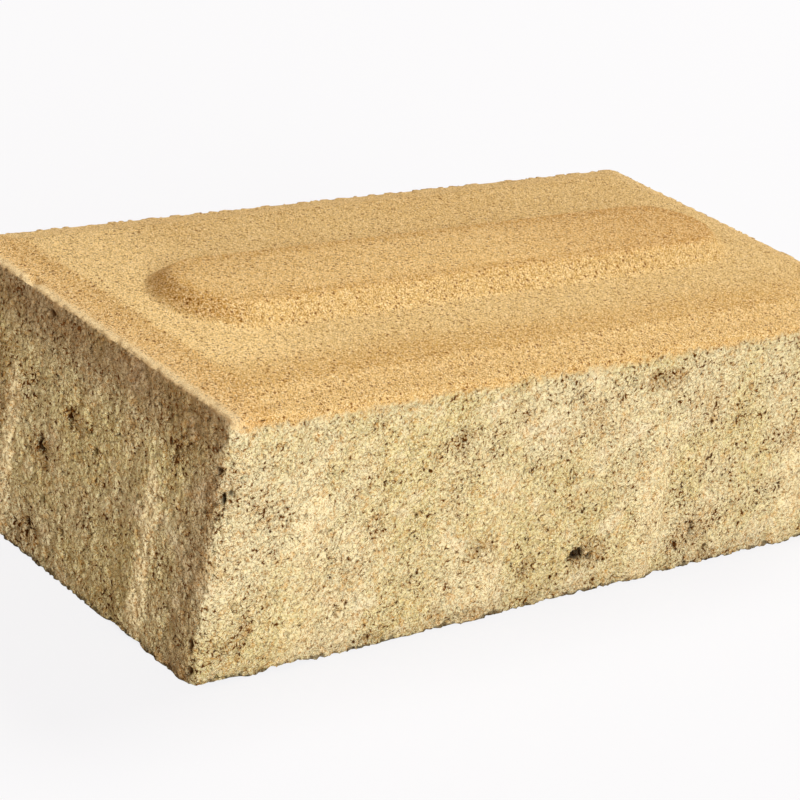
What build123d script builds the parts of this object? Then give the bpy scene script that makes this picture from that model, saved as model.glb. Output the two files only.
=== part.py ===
"""Tactile paving block: a pressed concrete paver with one raised guiding bar on its top.

The length runs along X, the width along Y and the height up Z. The origin is the middle of
the bed face that the block lies on. All sizes are in millimetres.
"""

import os

from build123d import *

# Body: the block between its side faces, up to the flat of its top
body_length = 198.0
body_width = 98.0
body_height = 60.0
corner_radius = 4.0

# Border of the top: a shallow bevel, hollow in section, mitred at the corners, with a blunted arris
border_width = 9.5
border_drop = 2.3
border_hollow = 0.3
arris_radius = 0.6

# Guiding bar: round ended, with flanks that slope from its foot to its flat crest
bar_end_margin = 16.5
bar_foot_width = 34.0
bar_height = 4.0
bar_flank_run = 5.0
bar_crest_radius = 1.5
bar_root_radius = 2.0

# Spacer ribs: low round-faced ribs on every side, with heads that run out below the top
rib_width = 11.0
rib_projection = 1.0
rib_top_margin = 18.0
rib_head_run = 8.0
rib_pitch = 50.0
rib_corner_margin = 15.0

# A rib is the outer slice of an upright shank whose axis lies inside the block. Its head is a
# cone that passes into the side face over rib_head_run and ends half way from there to the top.
rib_radius = ((rib_width / 2) ** 2 + rib_projection**2) / (2 * rib_projection)
rib_axis_depth = rib_radius - rib_projection
rib_shank_height = body_height - rib_top_margin - rib_head_run
rib_cone_height = rib_head_run + rib_top_margin / 2
rib_tip_radius = rib_radius - rib_projection * rib_cone_height / rib_head_run

# The bar runs along the block and stops bar_end_margin short of each end face
bar_foot_length = body_length - 2 * bar_end_margin
bar_crest_length = bar_foot_length - 2 * bar_flank_run
bar_crest_width = bar_foot_width - 2 * bar_flank_run

arris_height = body_height - border_drop
upright = (Align.CENTER, Align.CENTER, Align.MIN)


def upright_section(width):
    """Section across the block: square at the bed, with a hollow border on each side of the flat."""
    bed_corner = (width / 2, 0)
    arris = (width / 2, arris_height)
    flat_edge = (width / 2 - border_width, body_height)
    with BuildSketch() as section:
        with BuildLine():
            Polyline((0, 0), bed_corner, arris)
            SagittaArc(arris, flat_edge, border_hollow)
            Line(flat_edge, (0, body_height))
            mirror(about=Plane.YZ)
        make_face()
    return section.sketch


def rib_count(side_length):
    """How many ribs stand on a side, clear of its corners."""
    return int((side_length - 2 * rib_corner_margin) // rib_pitch) + 1


def add_ribs(x_spacing, y_spacing, x_count, y_count):
    """Add a grid of ribs that stand on the bed plane."""
    with GridLocations(x_spacing, y_spacing, x_count, y_count):
        Cylinder(rib_radius, rib_shank_height, align=upright)
        with Locations((0, 0, rib_shank_height)):
            Cone(rib_radius, rib_tip_radius, rib_cone_height, align=upright)


with BuildPart() as paving_block:
    # The section along the length and the section across the width meet in mitred borders
    with BuildSketch(Plane.XZ):
        add(upright_section(body_length))
    extrude(amount=body_width / 2, both=True)
    with BuildSketch(Plane.YZ):
        add(upright_section(body_width))
    extrude(amount=body_length / 2, both=True, mode=Mode.INTERSECT)

    # Rounded upright corners, then the blunted arris: the edges in the lowest quarter of the border
    fillet(paving_block.edges().filter_by(Axis.Z), corner_radius)
    arris = paving_block.edges().filter_by_position(Axis.Z, arris_height, arris_height + border_drop / 4)
    fillet(arris, arris_radius)

    # Spacer ribs on the two long sides, then on the two ends
    add_ribs(rib_pitch, body_width - 2 * rib_axis_depth, rib_count(body_length), 2)
    add_ribs(body_length - 2 * rib_axis_depth, rib_pitch, 2, rib_count(body_width))

    # Guiding bar, from its foot on the flat to its crest
    with BuildSketch(Plane.XY.offset(body_height)) as bar_foot:
        SlotOverall(bar_foot_length, bar_foot_width)
    with BuildSketch(Plane.XY.offset(body_height + bar_height)) as bar_crest:
        SlotOverall(bar_crest_length, bar_crest_width)
    loft([bar_foot.sketch, bar_crest.sketch])

    # Rounded crest and concave root, all the way round the bar
    crest = paving_block.faces().sort_by(Axis.Z)[-1]
    fillet(crest.edges(), bar_crest_radius)
    flat = paving_block.faces().filter_by(Axis.Z).sort_by(Axis.Z)[-2]
    fillet(flat.inner_wires().edges(), bar_root_radius)

paving_block.part.label = "paving_block"

os.makedirs("parts", exist_ok=True)
export_step(paving_block.part, "parts/paving_block.step")
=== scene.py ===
"""Tactile paving block: a pressed concrete paver, pitted on its sides and sandy on its face.

One piece, cast_block, stands for the solid of the same block. It is a fine copy of that solid,
worn inwards only: hollows, voids, crumbled edges and chipped rib feet. Sizes are in millimetres
until they reach the mesh, which is in metres.
"""

import math

import bmesh
import bpy
import numpy as np
from mathutils import Matrix, Vector, noise


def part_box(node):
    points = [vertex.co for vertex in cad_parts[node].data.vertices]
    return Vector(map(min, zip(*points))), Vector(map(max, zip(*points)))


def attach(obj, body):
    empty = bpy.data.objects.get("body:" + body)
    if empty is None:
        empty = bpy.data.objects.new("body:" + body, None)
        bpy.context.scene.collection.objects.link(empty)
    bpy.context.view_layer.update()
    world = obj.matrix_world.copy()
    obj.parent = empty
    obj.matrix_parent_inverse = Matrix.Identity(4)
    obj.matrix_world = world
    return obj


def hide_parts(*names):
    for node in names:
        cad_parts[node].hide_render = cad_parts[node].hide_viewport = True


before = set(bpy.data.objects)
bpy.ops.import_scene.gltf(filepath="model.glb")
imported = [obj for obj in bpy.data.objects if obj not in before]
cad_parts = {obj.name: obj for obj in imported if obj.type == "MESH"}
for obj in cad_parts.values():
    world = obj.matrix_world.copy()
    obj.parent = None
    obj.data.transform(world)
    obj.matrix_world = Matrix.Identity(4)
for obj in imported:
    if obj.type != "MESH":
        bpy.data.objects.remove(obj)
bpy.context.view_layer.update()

MM = 0.001
SEED = 11

# Sizes of the block that its wear follows, in millimetres
RIB_PROJECTION = 1.0
BAR_HEIGHT = 4.0
BORDER_DROP = 2.3
CORNER_RADIUS = 4.0
BAR_END_MARGIN = 16.5
BAR_FOOT_WIDTH = 34.0
low, high = (np.array(corner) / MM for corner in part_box("paving_block"))
HALF_LENGTH = high[0] - RIB_PROJECTION
HALF_WIDTH = high[1] - RIB_PROJECTION
ARRIS_HEIGHT = high[2] - BAR_HEIGHT - BORDER_DROP

# How deep from a side its points count as that side's
SIDE_REACH = 3.0

# Grain of the mesh: cells of the fine copy, and the most triangles left after thinning it
MESH_CELL = 0.5
MOST_TRIANGLES = 196000

# Grain of the concrete: its coarse, medium and fine hollows, and the clusters in which it crumbles
COARSE_GRAIN = 5.0
MEDIUM_GRAIN = 2.2
FINE_GRAIN = 1.2
CLUSTERS = 16.0

# Voids of the front face: along X, height, width, height of the void, depth
FRONT_VOIDS = [
    (4.5, 10.2, 6.4, 3.4, 2.2),
    (8.5, 9.0, 3.0, 2.4, 1.4),
    (13.5, 13.0, 3.2, 1.4, 1.0),
    (41.5, 10.0, 2.2, 4.6, 1.1),
    (34.0, 9.0, 2.0, 1.8, 1.1),
    (-28.0, 18.0, 2.2, 1.8, 1.1),
    (-12.0, 10.0, 1.8, 2.2, 1.2),
    (-3.0, 9.5, 1.6, 2.0, 1.1),
    (20.0, 50.5, 3.4, 1.4, 0.8),
    (-38.0, 46.0, 1.4, 3.4, 0.7),
    (-92.0, 41.0, 1.2, 2.4, 1.0),
    (-87.0, 38.0, 1.1, 2.6, 1.1),
    (-83.0, 36.5, 1.1, 2.6, 1.0),
    (-78.0, 34.5, 1.2, 3.0, 1.1),
    (-79.0, 23.5, 1.4, 2.6, 1.0),
    (-92.0, 17.0, 1.8, 2.4, 1.0),
    (-70.0, 30.0, 1.6, 1.6, 1.0),
    (60.0, 33.0, 1.8, 1.6, 0.9),
    (-5.0, 2.0, 2.2, 1.6, 1.2),
    (18.0, 2.0, 2.4, 1.6, 1.2),
    (48.0, 4.0, 1.8, 2.2, 1.1),
    (-97.0, 42.0, 2.2, 2.4, 1.3),
    (-95.0, 45.5, 2.4, 1.5, 1.0),
]

# Voids of the left end: along Y, height, width, height of the void, depth
LEFT_VOIDS = [
    (12.0, 25.5, 3.0, 2.6, 1.8),
    (8.5, 15.0, 2.0, 2.0, 1.3),
    (2.0, 36.0, 2.4, 1.8, 1.3),
    (-7.0, 33.0, 2.0, 1.8, 1.2),
    (14.0, 54.6, 3.8, 2.2, 1.5),
    (0.5, 11.0, 2.0, 1.8, 1.2),
    (13.0, 7.5, 2.2, 1.8, 1.2),
    (17.5, 6.0, 1.8, 1.6, 1.1),
    (-45.5, 8.5, 2.6, 3.2, 1.6),
    (-46.0, 3.0, 3.0, 2.4, 1.4),
    (-45.0, 46.0, 2.8, 2.0, 1.2),
    (-47.0, 40.5, 1.8, 2.6, 1.1),
]

# Worn rib feet, bed edges and a chipped arris, in the same terms as the voids
FRONT_WEAR = [(-75.0, 0.0, 15.0, 14.0, 1.1), (-93.0, 0.0, 12.0, 3.0, 0.7)]
LEFT_WEAR = [(-25.0, 0.0, 12.0, 8.0, 0.6), (23.0, 57.7, 5.0, 2.4, 0.9)]

# Crumbly patches, where the pores are denser and dirty: along the side, height, width, height
FRONT_CRUMBLE = [
    (-97.0, 43.0, 6.0, 16.0),
    (-90.0, 39.0, 12.0, 6.0),
    (40.0, 9.0, 18.0, 9.0),
    (7.0, 10.0, 14.0, 8.0),
    (-12.0, 10.0, 8.0, 7.0),
    (-28.0, 18.0, 9.0, 7.0),
    (-38.0, 44.0, 9.0, 8.0),
    (20.0, 50.0, 20.0, 6.0),
    (48.0, 2.0, 9.0, 5.0),
    (-26.0, 2.0, 10.0, 5.0),
    (-55.0, 2.0, 8.0, 4.0),
    (-92.0, 9.0, 14.0, 14.0),
]
LEFT_CRUMBLE = [
    (14.0, 6.0, 12.0, 7.0),
    (11.0, 25.0, 10.0, 8.0),
    (1.0, 36.0, 9.0, 5.0),
    (-35.0, 47.0, 10.0, 8.0),
    (-46.0, 40.0, 8.0, 14.0),
    (30.0, 34.0, 24.0, 24.0),
]

# Voids strewn over the right end and the back, which are seen from behind
STREWN_VOIDS_PER_SIDE = 16


def smooth_step(value, start, end):
    """0 at start, 1 at end, with a smooth ramp between them; start may be the larger."""
    ramp = np.clip((value - start) / (end - start), 0.0, 1.0)
    return ramp * ramp * (3.0 - 2.0 * ramp)


def noise_at(points, feature, layer):
    """Noise from about -1 to 1 at each point, with features of that size."""
    shift = Vector((3.1, 5.3, 7.7)) * (SEED + layer)
    return 1.8 * np.array([noise.noise(Vector(point) / feature + shift) for point in points])


def fine_copy(node, name):
    """A closed copy of a CAD node, remade in even cells."""
    shell = bmesh.new()
    shell.from_mesh(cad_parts[node].data)
    bmesh.ops.remove_doubles(shell, verts=shell.verts, dist=0.001 * MM)
    mesh = bpy.data.meshes.new(name)
    shell.to_mesh(mesh)
    shell.free()
    piece = bpy.data.objects.new(name, mesh)
    bpy.context.scene.collection.objects.link(piece)
    remesh = piece.modifiers.new("even_cells", "REMESH")
    remesh.mode = "VOXEL"
    remesh.voxel_size = MESH_CELL * MM
    apply_modifiers(piece)
    return piece


def apply_modifiers(piece):
    """Put what the piece's modifiers make into its own mesh."""
    depsgraph = bpy.context.evaluated_depsgraph_get()
    made = bpy.data.meshes.new_from_object(piece.evaluated_get(depsgraph))
    piece.modifiers.clear()
    old = piece.data
    piece.data = made
    bpy.data.meshes.remove(old)


def inset_from_sides(points):
    """How far each point lies inside the block's rounded outline, seen from above."""
    core = np.array([HALF_LENGTH, HALF_WIDTH]) - CORNER_RADIUS
    beyond = np.abs(points[:, :2]) - core
    outside = np.linalg.norm(np.maximum(beyond, 0.0), axis=1)
    inside = np.minimum(beyond.max(axis=1), 0.0)
    return CORNER_RADIUS - outside - inside


def void_depths(along, height, voids, ragged):
    """Depth of a side's voids: ragged round hollows at their places on that side."""
    depth = np.zeros(len(along))
    for centre, level, width, tall, deep in voids:
        reach = np.hypot((along - centre) / (width / 2), (height - level) / (tall / 2)) + 0.8 * ragged
        depth = np.maximum(depth, deep * smooth_step(reach, 1.15, 0.35))
    return depth


def strewn_voids(half_span, draw):
    """Voids at random places of a side."""
    voids = []
    for _ in range(STREWN_VOIDS_PER_SIDE):
        size = 1.2 + 2.6 * draw.random() ** 3
        place = (draw.uniform(-half_span, half_span), draw.uniform(1.0, ARRIS_HEIGHT - 4.0))
        voids.append((*place, size, size * draw.uniform(0.6, 1.4), 0.5 * size + 0.4))
    return voids


def crumble_share(along, height, patches, ragged):
    """How crumbly a side is: 1 in the middle of its patches, fading to 0 past their edges."""
    share = np.zeros(len(along))
    for centre, level, width, tall in patches:
        reach = np.hypot((along - centre) / (width / 2), (height - level) / (tall / 2)) + 0.28 * ragged
        share = np.maximum(share, smooth_step(reach, 1.3, 0.4))
    return share


def note(mesh, notes):
    """Keep a value for each point of the mesh under each name, for the material to follow."""
    for name, values in notes.items():
        attribute = mesh.attributes.new(name, "FLOAT", "POINT")
        attribute.data.foreach_set("value", values.astype(np.float32))


def wear(piece):
    """Sink hollows, voids and crumbled edges into the piece, and note what its material follows."""
    mesh = piece.data
    count = len(mesh.vertices)
    places = np.zeros(count * 3)
    mesh.vertices.foreach_get("co", places)
    points = places.reshape(-1, 3) / MM
    directions = np.zeros(count * 3, np.float32)
    mesh.vertex_normals.foreach_get("vector", directions)
    normals = directions.reshape(-1, 3).astype(float)

    inset = inset_from_sides(points)
    along_x, along_y, height = points.T
    upright = smooth_step(np.abs(normals[:, 2]), 0.75, 0.45)
    bed = smooth_step(normals[:, 2], -0.45, -0.75)
    coarse = noise_at(points, COARSE_GRAIN, 1)
    medium = noise_at(points, MEDIUM_GRAIN, 2)
    fine = noise_at(points, FINE_GRAIN, 3)
    clusters = noise_at(points, CLUSTERS, 4)

    # Voids, worn feet and crumbly patches, side by side
    draw = np.random.default_rng(SEED)
    back_voids = strewn_voids(HALF_LENGTH - CORNER_RADIUS, draw)
    right_voids = strewn_voids(HALF_WIDTH - CORNER_RADIUS, draw)
    voids = np.zeros(count)
    worn = np.zeros(count)
    crumble = np.zeros(count)
    for side, along, side_voids, side_wear, patches in (
        (along_y < SIDE_REACH - HALF_WIDTH, along_x, FRONT_VOIDS, FRONT_WEAR, FRONT_CRUMBLE),
        (along_x < SIDE_REACH - HALF_LENGTH, along_y, LEFT_VOIDS, LEFT_WEAR, LEFT_CRUMBLE),
        (along_y > HALF_WIDTH - SIDE_REACH, along_x, back_voids, [], []),
        (along_x > HALF_LENGTH - SIDE_REACH, along_y, right_voids, [], []),
    ):
        place = along[side], height[side]
        ragged = 0.33 * medium[side] + 0.33 * fine[side]
        wavy = 0.28 * coarse[side] + 0.22 * medium[side]
        voids[side] = np.maximum(voids[side], void_depths(*place, side_voids, ragged))
        worn[side] = np.maximum(worn[side], void_depths(*place, side_wear, wavy))
        crumble[side] = np.maximum(crumble[side], crumble_share(*place, patches, coarse[side]))

    # The right end and the back crumble in clusters, and the left of the front is pressed closer
    behind = np.maximum(smooth_step(along_x, 92.0, 97.0), smooth_step(along_y, 42.0, 47.0))
    crumble = np.maximum(crumble, smooth_step(clusters, 0.3, 0.9) * behind)
    crumble -= 0.35 * smooth_step(along_x, 10.0, -60.0) * smooth_step(along_y, -44.0, -47.0)

    # Open grain of the sides and the bed: flat lands with hollows and pores between them
    hollows = np.clip(0.1 - 0.35 * coarse - 0.4 * medium - 0.35 * fine, 0.0, 1.0)
    pores = smooth_step(fine - 0.2 * crumble, -0.65, -1.1)
    grain = upright * (0.8 * hollows + 0.6 * pores) + 0.3 * bed * hollows

    # Crumbled edges: the top's arris, more so at the right and the back, and the bed's edge
    arris = smooth_step(np.hypot(inset, height - ARRIS_HEIGHT), 1.8, 0.2)
    bed_edge = smooth_step(np.hypot(inset, height), 2.8, 0.3)
    crumbs = np.clip(0.33 * medium + 0.4 * fine + 0.1, 0.0, 1.0)
    chips = np.clip(0.55 * coarse + 0.2 * medium - 0.25, 0.0, 1.0)
    far = np.maximum(smooth_step(along_x, 60.0, 90.0), smooth_step(along_y, 30.0, 46.0))
    arris = arris * (1.0 + 2.0 * far)
    edges = arris * (1.1 * crumbs + 0.7 * chips) + bed_edge * (0.9 * crumbs + 0.7 * chips)

    depth = grain + voids * upright + worn + edges
    moved = np.clip(points - normals * depth[:, None], low, high)
    mesh.vertices.foreach_set("co", (moved * MM).ravel())

    # Notes for the material: pit depth for dirt and painted shade in the pits, browner bands with
    # painted shade on the ends, rubbed rib faces, and painted light on the ends' front-facing rib flanks
    on_end = smooth_step(np.abs(normals[:, 0]), 0.85, 0.99)
    # Under the arris of the ends: browner, and darker with painted shade
    top_brown_and_shade = smooth_step(height, 38.0, ARRIS_HEIGHT - 0.5)
    # Painted shade: the ends darker towards the front corner
    corner_shade = 0.6 * smooth_step(along_y, -30.0, -42.0)
    # Facing the front: on the ends' ribs, these flanks are whitened as painted light
    to_front = smooth_step(normals[:, 1], 0.05, -0.15)
    note(mesh, {
        "pit_depth": upright * (voids + 0.3 * pores),
        "end_brown_and_shade": on_end * np.maximum(0.12, np.maximum(top_brown_and_shade, corner_shade)),
        "rubbed_and_lit": smooth_step(inset, 0.05, -0.4) * np.maximum(0.5 * (1.0 - on_end), on_end * to_front),
        "crumble": upright * crumble,
        "inset": inset,
    })
    mesh.update()


def thin(piece):
    """Thin the mesh to the most triangles that the piece may have, still inside the block's box."""
    triangles = sum(len(polygon.vertices) - 2 for polygon in piece.data.polygons)
    decimate = piece.modifiers.new("thinned", "DECIMATE")
    decimate.ratio = MOST_TRIANGLES / triangles
    apply_modifiers(piece)
    places = np.zeros(len(piece.data.vertices) * 3)
    piece.data.vertices.foreach_get("co", places)
    inside = np.clip(places.reshape(-1, 3), low * MM, high * MM)
    piece.data.vertices.foreach_set("co", inside.ravel())
    piece.data.shade_smooth()
    piece.data.update()


# Colours and node helpers
def linear(hex_colour):
    """An sRGB hex colour as linear RGBA."""
    channels = [int(hex_colour[place : place + 2], 16) / 255 for place in (1, 3, 5)]
    return [c / 12.92 if c <= 0.04045 else ((c + 0.055) / 1.055) ** 2.4 for c in channels] + [1.0]


def add_node(tree, kind, inputs=None, output=0, **settings):
    """Add a node with its settings, feed its inputs with values or outputs, and give its output."""
    node = tree.nodes.new("ShaderNode" + kind)
    for name, value in settings.items():
        setattr(node, name, value)
    for socket, source in (inputs or {}).items():
        if isinstance(source, bpy.types.NodeSocket):
            tree.links.new(source, node.inputs[socket])
        else:
            node.inputs[socket].default_value = source
    return node.outputs[output] if node.outputs else None


# Sockets of a Mix node that mixes colours
FACTOR, FIRST, SECOND, MIXED = 0, 6, 7, 2


def lay_tints(tree, colour, tints):
    """Lay tints over a colour: each grows, from start to end of what it follows, to its strength."""
    for followed, start, end, strength, tint in tints:
        share = add_node(
            tree, "MapRange", {0: followed, 1: start, 2: end, 4: strength}, interpolation_type="SMOOTHSTEP"
        )
        inputs = {FACTOR: share, FIRST: colour, SECOND: linear(tint)}
        colour = add_node(tree, "Mix", inputs, MIXED, data_type="RGBA")
    return colour


def reach_into_bar(tree, along):
    """How far a point lies inside the outline of the bar's foot: below 0 outside it."""
    half_foot = BAR_FOOT_WIDTH / 2
    straight = HALF_LENGTH - BAR_END_MARGIN - half_foot
    beyond = add_node(tree, "Math", {0: along["X"]}, operation="ABSOLUTE")
    beyond = add_node(tree, "Math", {0: beyond, 1: straight * MM}, operation="SUBTRACT")
    beyond = add_node(tree, "Math", {0: beyond, 1: 0.0}, operation="MAXIMUM")
    from_axis = add_node(tree, "CombineXYZ", {"X": beyond, "Y": along["Y"]})
    from_axis = add_node(tree, "VectorMath", {0: from_axis}, "Value", operation="LENGTH")
    return add_node(tree, "Math", {0: half_foot * MM, 1: from_axis}, operation="SUBTRACT")


# Patterns of the concrete: size of their features in millimetres, detail and roughness
PATTERNS = {
    "face_clouds": (34.0, 3.0, 0.55),
    "side_clouds": (22.0, 2.0, 0.55),
    "cement": (7.0, 2.0, 0.55),
    "stains": (11.0, 4.0, 0.55),
    "swells": (1.8, 1.0, 0.5),
    "grit": (0.8, 1.0, 0.5),
    "seam": (2.6, 2.0, 0.55),
    "rubbing": (5.0, 3.0, 0.6),
}

# Cells of the concrete, in millimetres: sand grains, pin holes, lumps and stones. Their places are
# rippled by up to CELL_WARP, in ripples of RIPPLE, so that no cell has straight sides.
CELLS = {"face_sand": 0.17, "pin_holes": 1.4, "side_sand": 0.23, "lumps": 0.7, "stones": 2.0}
CELL_WARP = 0.9
RIPPLE = 0.7


def yellow_concrete():
    """Semi-dry pressed concrete, coloured yellow through: a fine sandy face mix over a coarse mix.

    The face is orange tan with dark and pale sand grains. The sides are pale yellow, open and
    pitted, with whitish cement patches, brown stains, and dirt and painted shade in the pits. Painted
    shade browns parts of the ends and the bar's left nose, and painted light whitens the ends'
    front-facing rib flanks. Nothing shines.
    pitted, with whitish cement patches, brown stains and dirt in the pits. Nothing shines.
    """
    material = bpy.data.materials.new("yellow_pressed_concrete")
    material.use_nodes = True
    tree = material.node_tree
    tree.nodes.clear()
    place = add_node(tree, "TexCoord", None, "Object")
    along = {}
    for axis in "XYZ":
        along[axis] = add_node(tree, "SeparateXYZ", {0: place}, axis)
    noted = {}
    for name in ("pit_depth", "end_brown_and_shade", "crumble", "rubbed_and_lit", "inset"):
        noted[name] = add_node(tree, "Attribute", None, "Fac", attribute_name=name)

    # The patterns are turned, so that no face of the block lies along their lattice
    turned = add_node(tree, "Mapping", {"Vector": place, "Rotation": (0.6, 0.4, 0.2)})
    pattern = {}
    for name, (size, detail, roughness) in PATTERNS.items():
        inputs = {"Vector": turned, "Scale": 1.0 / (size * MM), "Detail": detail, "Roughness": roughness}
        pattern[name] = add_node(tree, "TexNoise", inputs)

    # Cells: a random shade for each, and how far each point is from the middle of its cell
    inputs = {"Vector": turned, "Scale": 1.0 / (RIPPLE * MM), "Detail": 1.0}
    ripple = add_node(tree, "TexNoise", inputs, "Color")
    inputs = {0: ripple, 1: [CELL_WARP * MM] * 3, 2: turned}
    warped = add_node(tree, "VectorMath", inputs, operation="MULTIPLY_ADD")
    shade = {}
    reach = {}
    for name, size in CELLS.items():
        shade[name] = add_node(tree, "TexVoronoi", {"Vector": warped, "Scale": 1.0 / (size * MM)}, "Color")
        reach[name] = shade[name].node.outputs["Distance"]

    # Zones of the bar: the flank of its left nose, brown with painted shade, and the right of its crest
    in_bar = reach_into_bar(tree, along)
    zone = {}
    for name, (start, end), ramps in (
        ("shaded_nose", (-66.0, -76.0), ((0.2, 2.0), (6.5, 4.5))),
        ("far_crest", (-10.0, 80.0), ((3.0, 6.0),)),
    ):
        zone[name] = add_node(tree, "MapRange", {0: along["X"], 1: start * MM, 2: end * MM})
        for first, last in ramps:
            share = add_node(tree, "MapRange", {0: in_bar, 1: first * MM, 2: last * MM})
            zone[name] = add_node(tree, "Math", {0: zone[name], 1: share}, operation="MULTIPLY")

    # Face mix: paler on the borders and the arris, browner inside the front border, at the back and
    # on the right, redder on the bar with a brown rim to its crest and brown painted shade on its left
    # nose, a painted shade line inside the left border's hollow, sandy all over, with pin holes
    face = lay_tints(tree, linear("#e0be7a"), [
        (pattern["face_clouds"], 0.35, 0.65, 1.0, "#e6c887"),
        (along["Y"], 15.0 * MM, 48.0 * MM, 0.35, "#d8ac5e"),
        (along["X"], -50.0 * MM, -80.0 * MM, 0.9, "#fbdc98"),
        (along["X"], -20.0 * MM, 90.0 * MM, 0.35, "#ccaa66"),
        (along["Y"], -25.0 * MM, -37.0 * MM, 0.7, "#cfa251"),
        (in_bar, -0.5 * MM, 1.0 * MM, 0.5, "#cba45c"),
        # Painted shade: brown on the flank of the bar's left nose, which faces away from the overhead
        # light
        (zone["shaded_nose"], 0.0, 1.0, 0.6, "#bb8428"),
        (in_bar, 3.5 * MM, 6.0 * MM, 0.6, "#d8a856"),
        (in_bar, 6.5 * MM, 10.0 * MM, 0.8, "#eeca84"),
        (zone["far_crest"], 0.0, 1.0, 0.65, "#c48e3a"),
        (noted["inset"], 10.0, 8.0, 0.5, "#e9c888"),
        # Painted shade: a darker line along the inner edge of the left border's hollow
        (along["X"], -88.2 * MM, -90.6 * MM, 0.5, "#d8a654"),
        (along["X"], -91.0 * MM, -97.0 * MM, 0.7, "#f8d290"),
        (shade["face_sand"], 0.50, 0.16, 0.95, "#805004"),
        (shade["face_sand"], 0.54, 0.84, 0.95, "#fce7b6"),
        (reach["pin_holes"], 0.26, 0.12, 0.9, "#6c3c00"),
        (along["X"], -96.2 * MM, -98.0 * MM, 0.45, "#fff0c4"),
    ])

    # Side mix: pale, with whitish cement patches and brown stains, gritty, with dark gaps between its
    # lumps and stones, dirt and painted shade, wider where it crumbles, warm painted shade low in its
    # swells, rubbed white on the ribs, with painted light on the ends' front-facing rib flanks, darker
    # towards the bed, and a painted contact shadow in a dark line along the bed
    gap = {}
    for name in ("lumps", "stones"):
        gap[name] = reach[name]
        for followed, share in (
            (pattern["grit"], -0.6),
            (pattern["cement"], -0.6),
            (noted["crumble"], 0.1),
            (noted["rubbed_and_lit"], -0.18),
        ):
            inputs = {0: followed, 1: share, 2: gap[name]}
            gap[name] = add_node(tree, "Math", inputs, operation="MULTIPLY_ADD")
    rubbed_and_lit = add_node(tree, "Math", {0: noted["rubbed_and_lit"], 1: pattern["rubbing"]}, operation="MULTIPLY")
    waver = add_node(tree, "MapRange", {0: pattern["seam"], 1: 0.3, 2: 0.7, 3: -1.0 * MM, 4: 1.0 * MM})
    wavering = add_node(tree, "Math", {0: along["Z"], 1: waver}, operation="ADD")
    side = lay_tints(tree, linear("#ece2a8"), [
        (pattern["side_clouds"], 0.35, 0.65, 1.0, "#f8f0c3"),
        (pattern["cement"], 0.56, 0.72, 0.5, "#f8f0d0"),
        (pattern["stains"], 0.54, 0.74, 0.4, "#cca55a"),
        # Painted light on the ends' front-facing rib flanks, with real rubbing on the other ribs
        (rubbed_and_lit, 0.12, 0.45, 0.95, "#fff2c2"),
        (noted["crumble"], 0.2, 1.0, 0.4, "#a67c3a"),
        (wavering, 7.0 * MM, 1.0 * MM, 0.22, "#6f5730"),
        # Painted shade: warm orange-brown low in the swells, as shade in their hollows
        (pattern["swells"], 0.50, 0.28, 0.45, "#cc9020"),
        (shade["side_sand"], 0.42, 0.16, 0.7, "#a86800"),
        (shade["side_sand"], 0.56, 0.84, 0.75, "#fff7d4"),
        # Dark gaps between lumps and stones: dirt and painted shade
        (gap["lumps"], 0.16, 0.26, 0.85, "#945a00"),
        (gap["lumps"], 0.26, 0.34, 0.95, "#4c2800"),
        (gap["stones"], 0.37, 0.44, 0.95, "#4c2800"),
        # Dirt and painted shade in the voids and pores, darker where they are deeper
        (noted["pit_depth"], 0.25, 1.5, 0.92, "#2a1600"),
        # Painted shade: a dark line along the bed, as the contact shadow under the block
        (wavering, 0.9 * MM, 0.2 * MM, 0.7, "#3f301a"),
    ])

    # Where the two mixes meet: a ragged line under the arris, higher on the ends, which are browner and
    # darkened with painted shade under the arris and towards the front corner
    inputs = {0: noted["end_brown_and_shade"], 1: -1.8 * MM, 2: wavering}
    lower = add_node(tree, "Math", inputs, operation="MULTIPLY_ADD")
    inputs = {0: lower, 1: (ARRIS_HEIGHT - 3.2) * MM, 2: (ARRIS_HEIGHT - 1.0) * MM}
    is_face = add_node(tree, "MapRange", inputs, interpolation_type="SMOOTHSTEP")
    colour = add_node(tree, "Mix", {FACTOR: is_face, FIRST: side, SECOND: face}, MIXED, data_type="RGBA")
    # Painted shade and browner material on the ends
    colour = lay_tints(tree, colour, [(noted["end_brown_and_shade"], 0.0, 1.0, 0.6, "#86592c")])

    # Relief that is finer than the mesh, in millimetres about the lands: a little sand on the face,
    # lumps, stones, swells and grit on the sides
    face_relief = add_node(tree, "MapRange", {0: pattern["grit"], 1: 0.3, 2: 0.7, 3: -0.02, 4: 0.02})
    side_relief = 0.0
    for followed, first, last, deep, tall in (
        (pattern["swells"], 0.3, 0.7, -0.36, 0.36),
        (pattern["grit"], 0.3, 0.7, -0.12, 0.12),
        (gap["lumps"], 0.32, -0.13, -0.42, 0.0),
        (gap["stones"], 0.48, 0.18, -0.45, 0.0),
    ):
        one = add_node(tree, "MapRange", {0: followed, 1: first, 2: last, 3: deep, 4: tall})
        side_relief = add_node(tree, "Math", {0: side_relief, 1: one}, operation="ADD")
    relief = add_node(tree, "Mix", {0: is_face, 2: side_relief, 3: face_relief}, data_type="FLOAT")
    bump = add_node(tree, "Bump", {"Strength": 1.0, "Distance": 1.0 * MM, "Height": relief})

    inputs = {"Base Color": colour, "Normal": bump, "Roughness": 0.95, "Specular IOR Level": 0.1}
    surface = add_node(tree, "BsdfPrincipled", inputs)
    add_node(tree, "OutputMaterial", {"Surface": surface})
    return material


cast_block = fine_copy("paving_block", "cast_block")
wear(cast_block)
thin(cast_block)
cast_block.data.materials.clear()
cast_block.data.materials.append(yellow_concrete())
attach(cast_block, "root")
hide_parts("paving_block")


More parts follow.
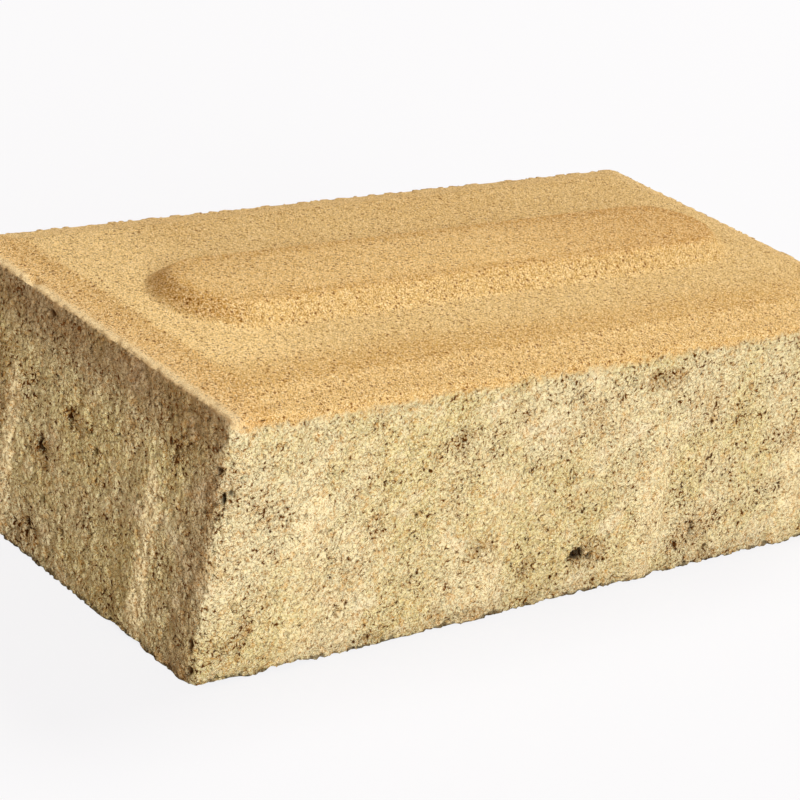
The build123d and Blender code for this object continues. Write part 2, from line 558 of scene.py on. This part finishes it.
# Stage: a white floor that keeps a soft shadow
FLOOR_SIZE = 6.0
BACKDROP = "#fafafc"
PAPER = "#e6dccf"
SHADOW_SHARE = 0.13


def seen_directly(tree):
    """1 for rays that show a thing to the camera, straight or by way of a shine or a clear piece."""
    seen = add_node(tree, "LightPath", None, "Is Camera Ray")
    for ray in ("Is Glossy Ray", "Is Transmission Ray"):
        other = add_node(tree, "LightPath", None, ray)
        seen = add_node(tree, "Math", {0: seen, 1: other}, operation="MAXIMUM")
    return seen


def white_floor():
    """Matt white paper: bounces light like any floor, and shows as near white with a soft shadow."""
    material = bpy.data.materials.new("white_paper")
    material.use_nodes = True
    tree = material.node_tree
    tree.nodes.clear()
    paper = add_node(tree, "BsdfDiffuse", {"Color": linear(PAPER)})
    shadow = add_node(tree, "BsdfDiffuse", {"Color": [SHADOW_SHARE] * 3 + [1.0]})
    glow = add_node(tree, "Emission", {"Color": linear(BACKDROP), "Strength": 1.0 - SHADOW_SHARE})
    shown = add_node(tree, "AddShader", {0: shadow, 1: glow})
    surface = add_node(tree, "MixShader", {0: seen_directly(tree), 1: paper, 2: shown})
    add_node(tree, "OutputMaterial", {"Surface": surface})
    return material


sheet = bmesh.new()
bmesh.ops.create_grid(sheet, x_segments=1, y_segments=1, size=FLOOR_SIZE / 2)
floor_mesh = bpy.data.meshes.new("floor")
sheet.to_mesh(floor_mesh)
sheet.free()
floor = bpy.data.objects.new("floor", floor_mesh)
floor.data.materials.append(white_floor())
bpy.context.scene.collection.objects.link(floor)

# Light: one soft box overhead from the right, one in front, and a pale room
SOFT_BOXES = {
    "overhead_box": ((0.6, 0.15, 0.78), 36.0),
    "front_box": ((-0.25, -0.89, 0.36), 38.5),
}
BOX_DISTANCE = 2.4
BOX_SIZE = 0.9
ROOM_COLOUR = "#ffe0c0"
ROOM_STRENGTH = 0.34

for name, (direction, power) in SOFT_BOXES.items():
    towards = Vector(direction).normalized()
    lamp = bpy.data.lights.new(name, "AREA")
    lamp.size = BOX_SIZE
    lamp.energy = power
    soft_box = bpy.data.objects.new(name, lamp)
    aim = towards.to_track_quat("Z", "Y").to_matrix().to_4x4()
    soft_box.matrix_world = Matrix.Translation(towards * BOX_DISTANCE) @ aim
    bpy.context.scene.collection.objects.link(soft_box)

world = bpy.data.worlds.new("pale_room")
world.use_nodes = True
room = world.node_tree
room.nodes.clear()
fill = add_node(room, "Background", {"Color": linear(ROOM_COLOUR), "Strength": ROOM_STRENGTH})
backdrop = add_node(room, "Background", {"Color": linear(BACKDROP), "Strength": 1.0})
view_of_room = add_node(room, "MixShader", {0: seen_directly(room), 1: fill, 2: backdrop})
add_node(room, "OutputWorld", {"Surface": view_of_room})
bpy.context.scene.world = world

# Camera: fitted to the block's edges in the photograph, with a slight roll
CAMERA_AZIMUTH = -0.77786
CAMERA_ELEVATION = 0.39187
CAMERA_ROLL = 0.18633
CAMERA_DISTANCE = 583.813
CAMERA_TARGET = Vector((-10.071, 0.0, 28.271))
SENSOR = 36.0
LENS = 116.483

back = Vector((
    math.sin(CAMERA_AZIMUTH) * math.cos(CAMERA_ELEVATION),
    -math.cos(CAMERA_AZIMUTH) * math.cos(CAMERA_ELEVATION),
    math.sin(CAMERA_ELEVATION),
))
lens = bpy.data.cameras.new("camera")
lens.sensor_width = SENSOR
lens.lens = LENS
camera = bpy.data.objects.new("camera", lens)
upright_view = back.to_track_quat("Z", "Y").to_matrix().to_4x4()
eye = (CAMERA_TARGET + back * CAMERA_DISTANCE) * MM
camera.matrix_world = Matrix.Translation(eye) @ upright_view @ Matrix.Rotation(CAMERA_ROLL, 4, "Z")
bpy.context.scene.collection.objects.link(camera)
bpy.context.scene.camera = camera
bpy.context.scene.view_settings.view_transform = "Standard"
